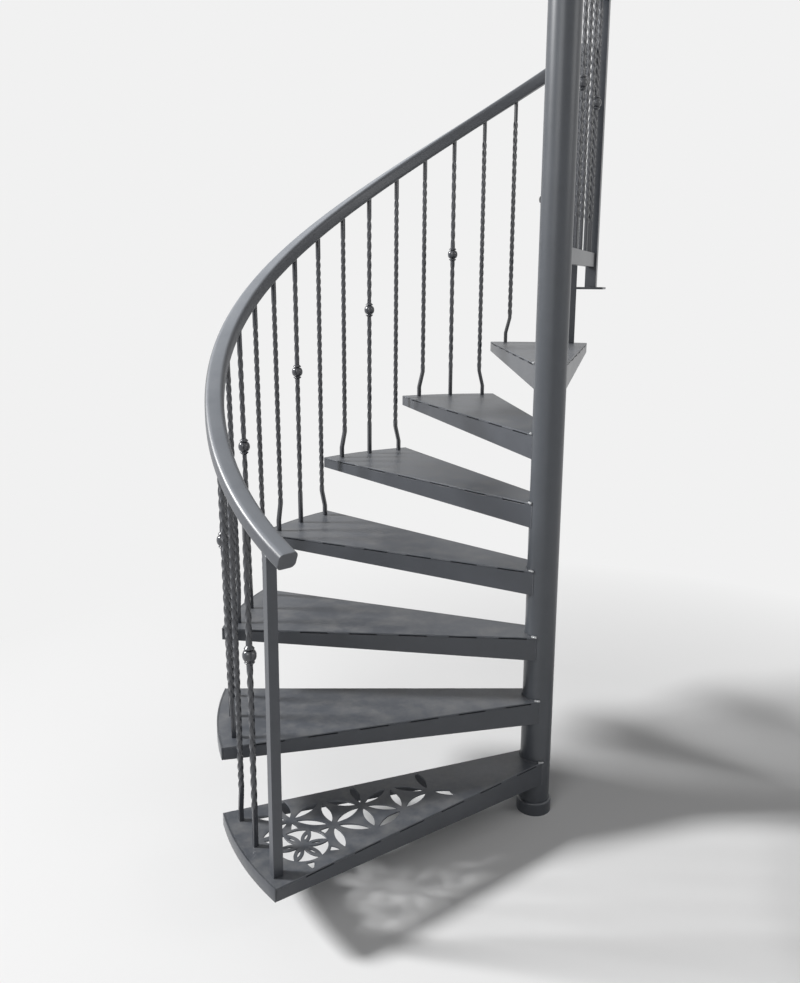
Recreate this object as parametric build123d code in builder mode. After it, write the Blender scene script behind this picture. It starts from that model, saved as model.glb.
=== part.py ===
"""Outdoor spiral staircase: a steel column with seven wedge treads, a curved handrail on square
balusters, and the straight guard that closes the landing side. Millimetres, Z up, the origin is
the centre of the column's foot on the ground, and the stair climbs clockwise seen from above."""

import os
from math import cos, degrees, radians, sin, sqrt

from build123d import *

os.makedirs("parts", exist_ok=True)

# Stair: rises, turn and the clearance between welded pieces
riser = 195.0
first_rise = 172.0
tread_count = 7
step_angle = 21.15
first_angle = 211.3
seat_gap = 0.3

# Column
column_diameter = 88.9
column_wall = 5.0
boot_diameter = 102.0
boot_height = 40.0
boot_chamfer = 6.0
base_thickness = 10.0
cap_diameter = 96.0
cap_rim = 5.0
cap_dome = 8.0

# Tread frame: two tapered side bars that carry the plate and a curved rim bar that borders it
tread_radius = 930.0
side_half_angle = 8.42
side_offset = 42.0
bar_thickness = 5.0
bar_depth_column = 72.0
bar_depth_rim = 34.5
plate_thickness = 4.0
stitch_length = 82.0
stitch_start = 41.0
stitch_pitch = 144.0
stitch_count = 6
stitch_depth = 3.0

# Pierced pattern of the lowest tread, in the tread's own axes
lattice_spacing = 113.5
lattice_angle = 21.0
lattice_x = 681.0
lattice_y = 14.0
petal_length = 86.0
petal_width = 22.0
rosette_radius = 65.0
rosette_band = 8.0
rosette_overlap = 5.0
rosette_petal_width = 24.0
rosette_hub = 7.0
slot_place = 36.0
slot_length = 26.0
slot_width = 6.0
pattern_margin = 7.0
pattern_inner = 330.0

# Balusters and newels
baluster_size = 12.0
baluster_foot_angle = 7.92
kink_start = 35.0
kink_end = 90.0
knuckle_height = 510.0
knuckle_diameter = 35.0
knuckle_length = 26.0
collar_diameter = 24.0
collar_length = 8.0
collar_spacing = 22.0
newel_size = 25.0
lower_newel_inset = 33.0
lower_newel_angle = 219.56
upper_newel_inset = 27.0
upper_newel_angle = 77.0

# Handrail: a rounded tube on an even slope that eases off over the lowest treads and swings
# outwards over the middle ones, where the balusters lean out with it
rail_width = 50.0
rail_thickness = 42.0
rail_corner = 6.0
plate_rounding = 6.0
rail_inset = 40.0
swing = 22.0
swing_middle_angle = 172.0
swing_half_angle = 60.0
lean_share = 0.7
rail_level_tread = 5
rail_level = 883.7
rail_rise_per_step = 206.9
ease_start_angle = 192.0
ease_lift = 56.0
rail_lower_angle = 223.5
rail_upper_angle = 76.0
rail_section_count = 32
end_cap_thickness = 3.0

# Landing guard beside the top tread
guard_direction = 71.6
guard_offset = 33.0
guard_bar_first = 119.4
guard_bar_pitch = 113.07
guard_bar_count = 8
guard_knuckles = (1, 4, 7)
guard_post_place = 992.0
guard_post_size = 40.0
guard_bottom_depth = 50.0
guard_rail_thickness = 25.0
guard_height = 1008.0
guard_top_overhang = 30.0
guard_top_clearance = 10.0
guard_leg_place = 300.0
guard_leg_height = 80.7
foot_plate_size = 100.0
foot_plate_thickness = 8.0

column_radius = column_diameter / 2
clear_radius = column_radius + seat_gap
deck_level = first_rise + tread_count * riser
guard_top_under = deck_level + guard_height
guard_bottom_top = deck_level + guard_leg_height + seat_gap + guard_bottom_depth
column_height = guard_top_under + rail_thickness + guard_top_clearance
rail_radius = tread_radius - rail_inset
baluster_radius = rail_radius
baluster_top_angle = step_angle / 3


def tread_angle(step):
    """Plan direction of a tread's centre line; step counts from zero at the bottom."""
    return first_angle - step * step_angle


def tread_top(step):
    return first_rise + step * riser


def rail_underside(angle):
    """Height of the handrail's underside over a plan direction."""
    level_step = rail_level_tread - 1
    level = tread_top(level_step) + rail_level
    run = (tread_angle(level_step) - angle) / step_angle
    share = max(0.0, angle - ease_start_angle) / (rail_lower_angle - ease_start_angle)
    return level + run * rail_rise_per_step + ease_lift * share**2


def rail_swing(angle):
    """How far the handrail stands outside its even curve."""
    share = min(1.0, abs(angle - swing_middle_angle) / swing_half_angle)
    return swing * cos(radians(90 * share)) ** 2


def rail_slope(angle):
    """Rise of the handrail per millimetre of run, negative because it falls with the angle."""
    share = max(0.0, angle - ease_start_angle) / (rail_lower_angle - ease_start_angle)
    ease = 2 * ease_lift * share / (rail_lower_angle - ease_start_angle)
    return degrees(ease - rail_rise_per_step / step_angle) / (rail_radius + rail_swing(angle))


def at_angle(radius, angle, height):
    return Vector(radius * cos(radians(angle)), radius * sin(radians(angle)), height)


def radial_plane(angle, height):
    """Level plane on the stair's axis with X along a plan direction."""
    return Plane(origin=(0, 0, height), x_dir=at_angle(1, angle, 0), z_dir=(0, 0, 1))


def rail_section_plane(angle):
    """Plane square to the handrail, X pointing away from the column."""
    slope = rail_slope(angle)
    middle = rail_underside(angle) + rail_thickness / 2 * sqrt(1 + slope**2)
    along = at_angle(1, angle + 90, slope)
    radius = rail_radius + rail_swing(angle)
    return Plane(origin=at_angle(radius, angle, middle), x_dir=at_angle(1, angle, 0), z_dir=along)


def rail_section():
    """Handrail section with eased corners."""
    with BuildSketch() as section:
        Rectangle(rail_width, rail_thickness)
        chamfer(section.vertices(), rail_corner / 2)
    return section.sketch


def rail_seat_plane(radius, angle):
    """Plane that touches the handrail's underside, less the clearance, over one post."""
    slope = rail_slope(angle) * (rail_radius + rail_swing(angle)) / radius
    outward = at_angle(1, angle, 0)
    tangent = at_angle(1, angle + 90, slope)
    return Plane(
        origin=at_angle(radius, angle, rail_underside(angle) - seat_gap),
        x_dir=outward,
        z_dir=outward.cross(tangent),
    )


def side_frame(side, across):
    """Level axes along a side bar, in the tread's axes; side is 1 for the front and -1 behind."""
    turn = radians(side * side_half_angle)
    along = Vector(cos(turn), sin(turn), 0)
    out = Vector(-sin(turn), cos(turn), 0) * side
    return along, out * across


def plate_outline():
    """Plate over both side bars, inside the rim bar, in the tread's axes."""
    rim = tread_radius - bar_thickness - seat_gap
    along, out = side_frame(1, side_offset)
    far = out + along * (2 * tread_radius)
    near = out - along * column_diameter
    with BuildSketch() as outline:
        with BuildLine():
            Polyline(
                (near.X, near.Y),
                (far.X, far.Y),
                (far.X, -far.Y),
                (near.X, -near.Y),
                close=True,
            )
        make_face()
        Circle(rim, mode=Mode.INTERSECT)
        Circle(clear_radius, mode=Mode.SUBTRACT)
        with Locations((-tread_radius, 0)):
            Rectangle(2 * tread_radius, tread_radius, mode=Mode.SUBTRACT)
    return outline.sketch


def petal(length, width):
    """Pointed leaf between two arcs, along X."""
    with BuildSketch() as leaf:
        with BuildLine():
            ThreePointArc((-length / 2, 0), (0, width / 2), (length / 2, 0))
            ThreePointArc((length / 2, 0), (0, -width / 2), (-length / 2, 0))
        make_face()
    return leaf.sketch


def rosette_opening():
    """Round opening that holds six solid leaves, each with a slim slot of its own."""
    leaf_length = rosette_radius + rosette_overlap
    with BuildSketch() as opening:
        Circle(rosette_radius)
        with PolarLocations(leaf_length / 2, 6, start_angle=30):
            add(petal(leaf_length, rosette_petal_width), mode=Mode.SUBTRACT)
        Circle(rosette_hub, mode=Mode.SUBTRACT)
        with PolarLocations(slot_place, 6, start_angle=30):
            add(petal(slot_length, slot_width))
    return opening.sketch


def lattice_point(i, j):
    first = radians(lattice_angle)
    second = radians(lattice_angle + 60)
    x = lattice_x + lattice_spacing * (i * cos(first) + j * cos(second))
    y = lattice_y + lattice_spacing * (i * sin(first) + j * sin(second))
    return x, y


def pattern_area():
    """Part of the plate that the piercing may use."""
    along, out = side_frame(1, side_offset - bar_thickness - pattern_margin)
    far = out + along * (2 * tread_radius)
    near = out + along * (pattern_inner / 2)
    with BuildSketch() as area:
        with BuildLine():
            Polyline((near.X, near.Y), (far.X, far.Y), (far.X, -far.Y), (near.X, -near.Y), close=True)
        make_face()
        Circle(tread_radius - bar_thickness - seat_gap - pattern_margin, mode=Mode.INTERSECT)
        with Locations((pattern_inner - tread_radius, 0)):
            Rectangle(2 * tread_radius, 2 * tread_radius, mode=Mode.SUBTRACT)
    return area.sketch


def piercing():
    """Leaves on the edges of a triangular lattice with one six-pointed rosette among them."""
    rosette = lattice_point(1, 0)
    leaf = petal(petal_length, petal_width)
    with BuildSketch() as holes:
        for i in range(-4, 4):
            for j in range(-3, 4):
                x, y = lattice_point(i, j)
                for direction in (0, 60, 120):
                    heading = lattice_angle + direction
                    middle_x = x + lattice_spacing / 2 * cos(radians(heading))
                    middle_y = y + lattice_spacing / 2 * sin(radians(heading))
                    if middle_x < pattern_inner or middle_x > tread_radius:
                        continue
                    if abs(middle_y) > tread_radius * sin(radians(side_half_angle + 2)):
                        continue
                    with Locations(Location((middle_x, middle_y, 0), (0, 0, heading))):
                        add(leaf)
        add(pattern_area(), mode=Mode.INTERSECT)
        with Locations(rosette):
            Circle(rosette_radius + rosette_band, mode=Mode.SUBTRACT)
        with Locations(Location((rosette[0], rosette[1], 0), (0, 0, lattice_angle))):
            add(rosette_opening())
    return holes.sketch


def side_bar_profile():
    """Tapered flat on edge under the plate, X along the bar and Y up from the plate's top; the
    shallow notches are the gaps between the stitch welds."""
    seat = -plate_thickness - seat_gap
    with BuildSketch() as profile:
        with BuildLine():
            Polyline(
                (0, seat),
                (tread_radius, seat),
                (tread_radius, -bar_depth_rim),
                (0, -bar_depth_column),
                close=True,
            )
        make_face()
        for place in range(stitch_count):
            middle = stitch_start + place * stitch_pitch + stitch_length / 2
            with Locations((middle, seat)):
                Rectangle(stitch_length, 2 * stitch_depth, mode=Mode.SUBTRACT)
    return profile.sketch


def make_frame(step):
    """Two side bars and the rim bar, three flats with a weld gap between them."""
    base = radial_plane(tread_angle(step), tread_top(step))
    rim_inner = tread_radius - bar_thickness
    with BuildPart() as bars:
        for side in (1, -1):
            along, out = side_frame(side, side_offset - (bar_thickness if side == 1 else 0))
            origin = base.from_local_coords(out)
            heading = base.from_local_coords(along) - base.from_local_coords(Vector(0, 0, 0))
            face = Plane(origin=origin, x_dir=heading, z_dir=heading.cross(Vector(0, 0, 1)))
            with BuildSketch(face):
                add(side_bar_profile())
            extrude(amount=-bar_thickness)
        with Locations((0, 0, tread_top(step) - bar_depth_column / 2)):
            Cylinder(rim_inner - seat_gap, 2 * bar_depth_column, mode=Mode.INTERSECT)
            Cylinder(clear_radius, 2 * bar_depth_column, mode=Mode.SUBTRACT)
    along, out = side_frame(1, side_offset)
    reach = sqrt(tread_radius**2 - side_offset**2)
    corner = out + along * reach
    with BuildPart() as rim:
        with BuildSketch(base):
            Circle(tread_radius)
            Circle(rim_inner, mode=Mode.SUBTRACT)
            with BuildLine():
                Polyline((0, 0), (corner.X * 2, corner.Y * 2), (corner.X * 2, -corner.Y * 2), close=True)
            make_face(mode=Mode.INTERSECT)
        extrude(amount=-bar_depth_rim)
    frame = Compound(children=[*bars.solids(), *rim.solids()])
    return frame


def make_plate(step):
    """Top plate; the lowest one is pierced."""
    with BuildPart() as plate:
        with BuildSketch(radial_plane(tread_angle(step), tread_top(step))):
            add(plate_outline())
            if step == 0:
                add(piercing(), mode=Mode.SUBTRACT)
        extrude(amount=-plate_thickness)
    return plate.part


def bar_outline(foot_shift, height):
    """Side view of a square bar standing on the X axis, kinked above its foot."""
    half = baluster_size / 2
    with BuildSketch() as outline:
        with BuildLine():
            if foot_shift == 0:
                Polyline((-half, seat_gap), (-half, height), (half, height), (half, seat_gap), close=True)
            else:
                Polyline(
                    (foot_shift - half, seat_gap),
                    (foot_shift - half, kink_start),
                    (-half, kink_end),
                    (-half, height),
                    (half, height),
                    (half, kink_end),
                    (foot_shift + half, kink_start),
                    (foot_shift + half, seat_gap),
                    close=True,
                )
        make_face()
    return outline.sketch


def knuckle_outline():
    """Half section of the forged ball with a small collar above and below it."""
    ball = knuckle_diameter / 2
    root = baluster_size / 3
    half = knuckle_length / 2
    with BuildSketch() as outline:
        with BuildLine():
            Polyline(
                (0, -half),
                (root, -half),
                (ball, -half / 4),
                (ball, half / 4),
                (root, half),
                (0, half),
                close=True,
            )
        make_face()
        for side in (1, -1):
            with BuildLine():
                Polyline(
                    (0, side * collar_spacing - collar_length / 2),
                    (root, side * collar_spacing - collar_length / 2),
                    (collar_diameter / 2, side * collar_spacing),
                    (root, side * collar_spacing + collar_length / 2),
                    (0, side * collar_spacing + collar_length / 2),
                    close=True,
                )
            make_face()
    return outline.sketch


def make_balusters(step):
    """Three bars a tread; the newels take the place of the first and the last."""
    bars = []
    for place in (1, 0, -1):
        if (step == 0 and place == 1) or (step == tread_count - 1 and place == -1):
            continue
        angle = tread_angle(step) + place * baluster_top_angle
        spread = radians(baluster_foot_angle - baluster_top_angle)
        foot_shift = place * baluster_radius * spread
        tall = rail_underside(angle) - tread_top(step) + rail_thickness
        lean = lean_share * rail_swing(angle)
        stand = Plane(
            origin=at_angle(baluster_radius, angle, tread_top(step)),
            x_dir=at_angle(1, angle + 90, 0),
            z_dir=at_angle(1, angle, -lean / tall),
        )
        with BuildPart() as bar:
            with BuildSketch(stand.offset(-baluster_size / 2)):
                add(bar_outline(foot_shift, tall))
            extrude(amount=baluster_size)
            with Locations(rail_seat_plane(baluster_radius + lean, angle)):
                Box(
                    8 * baluster_size,
                    8 * baluster_size,
                    4 * rail_thickness,
                    align=(Align.CENTER, Align.CENTER, Align.MIN),
                    mode=Mode.SUBTRACT,
                )
            if place == 0:
                raised = stand.from_local_coords(Vector(0, knuckle_height, 0))
                middle = Plane(origin=raised, x_dir=stand.x_dir, z_dir=stand.z_dir)
                with BuildSketch(middle):
                    add(knuckle_outline())
                revolve(axis=Axis(raised, stand.y_dir))
        bars.extend(bar.solids())
    return Compound(children=bars)


def make_newel(radius, angle, step):
    """Square post on a tread, its faces square to the tread, cut to the handrail's slope."""
    base = radial_plane(tread_angle(step), tread_top(step) + seat_gap)
    place = base.to_local_coords(at_angle(radius, angle, tread_top(step)))
    with BuildPart() as newel:
        with BuildSketch(base):
            with Locations((place.X, place.Y)):
                Rectangle(newel_size, newel_size)
        extrude(amount=rail_underside(angle) - tread_top(step) + 2 * newel_size)
        with Locations(rail_seat_plane(radius, angle)):
            Box(
                6 * newel_size,
                6 * newel_size,
                8 * newel_size,
                align=(Align.CENTER, Align.CENTER, Align.MIN),
                mode=Mode.SUBTRACT,
            )
    return newel.part


def write(shape, name):
    shape.label = name
    export_step(shape, f"parts/{name}.step")


# Column on its base, with the boot turned from the base disc, and the cap
column_foot_level = base_thickness + seat_gap
with BuildPart() as column:
    with BuildSketch(Plane(origin=(0, 0, column_foot_level))):
        Circle(column_radius)
        Circle(column_radius - column_wall, mode=Mode.SUBTRACT)
    extrude(amount=column_height - column_foot_level)
write(column.part, "column")

with BuildPart() as column_foot:
    with BuildSketch():
        Circle(boot_diameter / 2)
    extrude(amount=boot_height)
    chamfer(column_foot.faces().sort_by(Axis.Z)[-1].edges(), boot_chamfer)
    with BuildSketch(Plane(origin=(0, 0, base_thickness))):
        Circle(clear_radius)
    extrude(amount=boot_height, mode=Mode.SUBTRACT)
write(column_foot.part, "column_foot")

with BuildPart() as column_cap:
    with BuildSketch(Plane(origin=(0, 0, column_height + seat_gap))):
        Circle(cap_diameter / 2)
    extrude(amount=cap_rim + cap_dome)
    chamfer(column_cap.faces().sort_by(Axis.Z)[-1].edges(), length=cap_dome, length2=3 * cap_dome)
write(column_cap.part, "column_cap")

# Treads with their balusters, from the bottom up
for step in range(tread_count):
    write(make_plate(step), f"tread_{step + 1}_plate")
    write(make_frame(step), f"tread_{step + 1}_frame")
    write(make_balusters(step), f"tread_{step + 1}_balusters")

write(make_newel(tread_radius - lower_newel_inset, lower_newel_angle, 0), "lower_newel")
write(make_newel(tread_radius - upper_newel_inset, upper_newel_angle, tread_count - 1), "upper_newel")

# Handrail through sections square to its run, then the plates that close its ends
with BuildPart() as handrail:
    for place in range(rail_section_count + 1):
        share = place / rail_section_count
        angle = rail_lower_angle + share * (rail_upper_angle - rail_lower_angle)
        with BuildSketch(rail_section_plane(angle)):
            add(rail_section())
    loft()
write(handrail.part, "handrail")

with BuildPart() as handrail_lower_cap:
    with BuildSketch(rail_section_plane(rail_lower_angle).offset(seat_gap)):
        add(rail_section())
    extrude(amount=end_cap_thickness)
write(handrail_lower_cap.part, "handrail_lower_cap")

with BuildPart() as handrail_upper_cap:
    with BuildSketch(rail_section_plane(rail_upper_angle).offset(-seat_gap)):
        add(rail_section())
    extrude(amount=-end_cap_thickness)
write(handrail_upper_cap.part, "handrail_upper_cap")

# Landing guard: X runs from the column outwards and Y is up
guard_along = at_angle(1, guard_direction, 0)
guard_side = at_angle(1, guard_direction + 90, 0)
guard_plane = Plane(
    origin=guard_side * guard_offset,
    x_dir=guard_along,
    z_dir=guard_along.cross(Vector(0, 0, 1)),
)
guard_start = sqrt(clear_radius**2 - guard_offset**2)
post_face = guard_post_place - guard_post_size / 2
bottom_middle = guard_bottom_top - guard_bottom_depth / 2
guard_end = guard_post_place + guard_post_size / 2 + guard_top_overhang


def guard_bar(low, high, start, end, thickness):
    """Straight rail of the guard that stops against the column."""
    with BuildPart() as bar:
        with BuildSketch(guard_plane.offset(-thickness / 2)):
            with Locations(((start + end) / 2, (low + high) / 2)):
                Rectangle(end - start, high - low)
        extrude(amount=thickness)
        with Locations((0, 0, (low + high) / 2)):
            Cylinder(clear_radius, 4 * (high - low), mode=Mode.SUBTRACT)
    return bar.part


bottom_rail = guard_bar(
    guard_bottom_top - guard_bottom_depth,
    guard_bottom_top,
    guard_start,
    post_face - seat_gap,
    guard_rail_thickness,
)
write(bottom_rail, "guard_bottom_rail")

top_rail = guard_bar(
    guard_top_under,
    guard_top_under + rail_thickness,
    guard_start,
    guard_end,
    rail_width,
)
write(top_rail, "guard_top_rail")

guard_bars = []
for place in range(guard_bar_count):
    along = guard_bar_first + place * guard_bar_pitch
    foot = guard_bottom_top + seat_gap
    with BuildPart() as guard_baluster:
        with BuildSketch(guard_plane.offset(-baluster_size / 2)):
            with Locations((along, (foot + guard_top_under - seat_gap) / 2)):
                Rectangle(baluster_size, guard_top_under - seat_gap - foot)
        extrude(amount=baluster_size)
        if place in guard_knuckles:
            raised = guard_plane.from_local_coords(Vector(along, guard_bottom_top + knuckle_height, 0))
            with BuildSketch(Plane(origin=raised, x_dir=guard_along, z_dir=guard_plane.z_dir)):
                add(knuckle_outline())
            revolve(axis=Axis(raised, (0, 0, 1)))
    guard_bars.extend(guard_baluster.solids())
write(Compound(children=guard_bars), "guard_balusters")

with BuildPart() as guard_end_post:
    with BuildSketch(Plane(origin=(0, 0, deck_level + foot_plate_thickness + seat_gap))):
        middle = guard_plane.from_local_coords(Vector(guard_post_place, 0, 0))
        with Locations(Location((middle.X, middle.Y, 0), (0, 0, guard_direction))):
            Rectangle(guard_post_size, guard_post_size)
    extrude(amount=guard_top_under - deck_level - foot_plate_thickness - 2 * seat_gap)
write(guard_end_post.part, "guard_end_post")

with BuildPart() as guard_foot_plate:
    with BuildSketch(Plane(origin=(0, 0, deck_level))):
        middle = guard_plane.from_local_coords(Vector(guard_post_place, 0, 0))
        with Locations(Location((middle.X, middle.Y, 0), (0, 0, guard_direction))):
            RectangleRounded(foot_plate_size, foot_plate_size, plate_rounding)
    extrude(amount=foot_plate_thickness)
write(guard_foot_plate.part, "guard_foot_plate")

with BuildPart() as guard_leg:
    with BuildSketch(Plane(origin=(0, 0, deck_level))):
        middle = guard_plane.from_local_coords(Vector(guard_leg_place, 0, 0))
        with Locations(Location((middle.X, middle.Y, 0), (0, 0, guard_direction))):
            Rectangle(newel_size, newel_size)
    extrude(amount=guard_leg_height)
write(guard_leg.part, "guard_leg")
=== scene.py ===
"""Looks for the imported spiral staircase: twisted balusters with forged knuckles, a smooth handrail and
column, stitch welds, satin paint and a plain stage. Everything is in metres and in the CAD's frame."""

import math

import bmesh
import bpy
from mathutils import Matrix, Vector


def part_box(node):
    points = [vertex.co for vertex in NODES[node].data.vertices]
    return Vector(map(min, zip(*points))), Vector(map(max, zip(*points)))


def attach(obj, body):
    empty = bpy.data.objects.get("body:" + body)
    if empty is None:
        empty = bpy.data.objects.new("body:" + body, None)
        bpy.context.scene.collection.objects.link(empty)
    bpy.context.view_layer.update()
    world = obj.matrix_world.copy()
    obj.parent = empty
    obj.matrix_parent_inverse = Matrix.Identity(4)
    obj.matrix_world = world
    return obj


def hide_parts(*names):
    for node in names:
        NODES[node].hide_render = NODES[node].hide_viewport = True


bl_info = {
    "name": "Spiral staircase looks",
    "version": (1, 0, 0),
    "blender": (4, 5, 0),
    "location": "3D View > Sidebar > Stair",
    "description": "Builds the staircase's twisted balusters, handrail, welds, paint and stage",
    "category": "Object",
}

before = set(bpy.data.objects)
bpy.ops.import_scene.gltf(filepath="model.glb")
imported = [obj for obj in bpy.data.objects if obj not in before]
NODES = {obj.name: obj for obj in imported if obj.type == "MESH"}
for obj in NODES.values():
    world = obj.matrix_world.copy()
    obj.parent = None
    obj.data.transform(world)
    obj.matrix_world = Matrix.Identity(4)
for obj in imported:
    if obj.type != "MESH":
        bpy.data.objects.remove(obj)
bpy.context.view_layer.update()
BODY = "root"

# The stair's own rule, as the CAD has it. Angles are in degrees about the column.
TREADS = 7
RISE = 0.195
FIRST_RISE = 0.172
STEP_ANGLE = 21.15
FIRST_ANGLE = 211.3
PLATE = 0.004
SIDE_ANGLE = 8.42
SIDE_OFFSET = 0.042
SEAT_GAP = 0.0003

# Column, with the disc and the eased top of its boot, and its cap
COLUMN_RADIUS = 0.08890 / 2
COLUMN_WALL = 0.005
BASE_DISC = 0.011
BOOT_EASE = 0.006
BOOT_GAP = 0.0004
CAP_RADIUS = 0.096 / 2
CAP_RIM = 0.005
CAP_EASE = 0.0006

# Handrail: it climbs the same at each step, eases upward near its lower end and swings out in its middle
RAIL_RADIUS = 0.890
RAIL_WIDTH = 0.050
RAIL_DEPTH = 0.042
RAIL_CORNER = 0.0125
RAIL_LOWER_ANGLE = 223.5
RAIL_UPPER_ANGLE = 76.0
RAIL_LEVEL_STEP = 4
RAIL_LEVEL = 0.8837
RAIL_RISE = 0.2069
RAIL_LENGTHS = 180
EASE_START = 192.0
EASE_LIFT = 0.056
SWING = 0.022
SWING_MIDDLE = 172.0
SWING_REACH = 60.0
END_CAP = 0.003

# Balusters of the treads and of the landing guard
BALUSTER_RADIUS = 0.890
BALUSTER_TOP_ANGLE = STEP_ANGLE / 3
BALUSTER_FOOT_ANGLE = 7.92
LEAN_SHARE = 0.7
GUARD_DIRECTION = 71.6
GUARD_OFFSET = 0.033
GUARD_FIRST = 0.1194
GUARD_PITCH = 0.11307
GUARD_BARS = 8
GUARD_KNUCKLES = (1, 4, 7)
GUARD_FOOT = 1.668
GUARD_TOP = 2.545

# Slits between the plates and the side bars, the welds between them, and the strips of painted shade behind
# them
SLITS = [(0.041 + 0.144 * place, 0.041 + 0.144 * place + 0.082) for place in range(6)]
SLIT_DEPTH = 0.003
STRIP_DEPTHS = (0.0049, 0.0040)
WELD_START = 0.019
WELD_END = 0.920
WELD_MARGIN = 0.001
STITCH_PITCH = 0.0028
ROUND_PITCH = 0.0030
DOWN_PITCH = 0.0027
DOWN_BEADS = 25
CORNER_PITCH = 2.4
CORNER_BEADS = 7

# Solid bands of the pierced tread, in its own axes: beside the rim, and beside the bars except at the rosette
RIM_BAND = 0.865
SIDE_BAND = 0.045
ROSETTE = (0.787, 0.055)
ROSETTE_REACH = 0.090

# Camera, fitted to the photograph: pixels of a picture of this size, metres, and degrees
PICTURE = (800, 983)
FOCAL = 896.407
MIDDLE_ROW = 464.431
EYE = (-0.3782, -2.4670)
EYE_YAW = 0.780
EYE_PITCH = 11.521
EYE_ROLL = 0.394
SENSOR = 36.0

# Stage: the floor is lit near the stair and turns into the background further out
LIT_REACH = 1.0
LIT_FADE = 1.5
AIM = (-0.3, 0.2, 1.1)
WHITE = (1.0, 1.0, 1.0, 1.0)

# Each finish: its colour in the settings, change of roughness, shine, mottling, share of dust, share of
# painted sheen on level faces
FINISHES = {
    "plate_paint": ("plate", 0.08, 0.5, 0.16, 0.30, 0.0),
    "column_paint": ("column", 0.0, 0.5, 0.10, 0.10, 0.0),
    "steel_paint": ("steel", 0.0, 0.5, 0.12, 0.16, 0.0),
    "bar_paint": ("bars", -0.13, 0.8, 0.12, 0.10, 0.0),
    # The handrail takes the full painted sheen on its top faces
    "rail_paint": ("steel", 0.06, 0.8, 0.10, 0.08, 1.0),
    "weld_paint": ("weld", -0.15, 0.8, 0.10, 0.05, 0.0),
    "slit_paint": ("slit", 0.30, 0.1, 0.10, 0.0, 0.0),
}

# Pieces that keep the CAD's shape and get eased edges
POSTS = {
    "lower_newel": "lower_post",
    "upper_newel": "upper_post",
    "guard_bottom_rail": "guard_lower_bar",
    "guard_top_rail": "guard_upper_bar",
    "guard_end_post": "guard_outer_post",
    "guard_leg": "guard_short_leg",
    "guard_foot_plate": "guard_post_foot",
}


class Tree:
    """A node tree that makes nodes from a type, their settings and the values of their inputs."""

    def __init__(self, tree):
        self.tree = tree

    def node(self, kind, inputs=(), **settings):
        made = self.tree.nodes.new(kind)
        for name, value in settings.items():
            setattr(made, name, value)
        for key, value in dict(inputs).items():
            self.feed(made.inputs[key], value)
        return made

    def feed(self, socket, value):
        if isinstance(value, Term):
            value = value.socket
        if isinstance(value, bpy.types.NodeSocket):
            self.tree.links.new(value, socket)
        else:
            socket.default_value = value

    def term(self, kind, inputs=(), out=0, **settings):
        """One output of a new node, ready for an expression."""
        return Term(self, self.node(kind, inputs, **settings).outputs[out])

    def math(self, operation, *values):
        return self.term("ShaderNodeMath", enumerate(values), operation=operation)

    def vector_math(self, operation, *values, out=0):
        return self.term("ShaderNodeVectorMath", enumerate(values), out, operation=operation)

    def vector(self, x, y, z):
        return self.term("ShaderNodeCombineXYZ", {"X": x, "Y": y, "Z": z})

    def turned_level(self, vector, angle):
        return self.term("ShaderNodeVectorRotate", {"Vector": vector, "Angle": angle}, rotation_type="Z_AXIS")

    def named(self, label, kind="FLOAT"):
        """A named attribute of the points."""
        made = self.node("GeometryNodeInputNamedAttribute", {"Name": label}, data_type=kind)
        return Term(self, next(out for out in made.outputs if out.enabled and out.name == "Attribute"))


class Term:
    """A socket in an expression; each operator adds its Math node."""

    def __init__(self, tree, socket):
        self.tree = tree
        self.socket = socket

    def __add__(self, other):
        return self.tree.math("ADD", self, other)

    __radd__ = __add__

    def __sub__(self, other):
        return self.tree.math("SUBTRACT", self, other)

    def __rsub__(self, other):
        return self.tree.math("SUBTRACT", other, self)

    def __mul__(self, other):
        return self.tree.math("MULTIPLY", self, other)

    __rmul__ = __mul__

    def __truediv__(self, other):
        return self.tree.math("DIVIDE", self, other)

    def clamp(self, low=0.0, high=1.0):
        return self.tree.math("MINIMUM", self.tree.math("MAXIMUM", self, low), high)

    def above(self, level):
        return self.tree.math("GREATER_THAN", self, level)

    def parts(self):
        split = self.tree.node("ShaderNodeSeparateXYZ", {0: self})
        return [Term(self.tree, out) for out in split.outputs]


def tread_angle(step):
    return FIRST_ANGLE - step * STEP_ANGLE


def tread_top(step):
    return FIRST_RISE + step * RISE


def ease_share(angle):
    """How far the handrail is into its upward ease, from 0 to 1 at its lower end."""
    return max(0.0, angle - EASE_START) / (RAIL_LOWER_ANGLE - EASE_START)


def rail_underside(angle):
    run = (tread_angle(RAIL_LEVEL_STEP) - angle) / STEP_ANGLE
    return tread_top(RAIL_LEVEL_STEP) + RAIL_LEVEL + run * RAIL_RISE + EASE_LIFT * ease_share(angle) ** 2


def rail_swing(angle):
    share = min(1.0, abs(angle - SWING_MIDDLE) / SWING_REACH)
    return SWING * math.cos(share * math.pi / 2) ** 2


def rail_slope(angle):
    """Rise over run of the handrail, towards growing angles."""
    ease = 2 * EASE_LIFT * ease_share(angle) / (RAIL_LOWER_ANGLE - EASE_START)
    return math.degrees(ease - RAIL_RISE / STEP_ANGLE) / (RAIL_RADIUS + rail_swing(angle))


def rail_middle(angle):
    slope = rail_slope(angle)
    height = rail_underside(angle) + RAIL_DEPTH / 2 * math.sqrt(1 + slope * slope)
    return at_angle(RAIL_RADIUS + rail_swing(angle), angle, height)


def at_angle(radius, angle, height):
    turn = math.radians(angle)
    return Vector((radius * math.cos(turn), radius * math.sin(turn), height))


def guard_point(along, height):
    return at_angle(along, GUARD_DIRECTION, height) + at_angle(GUARD_OFFSET, GUARD_DIRECTION + 90, 0)


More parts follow.
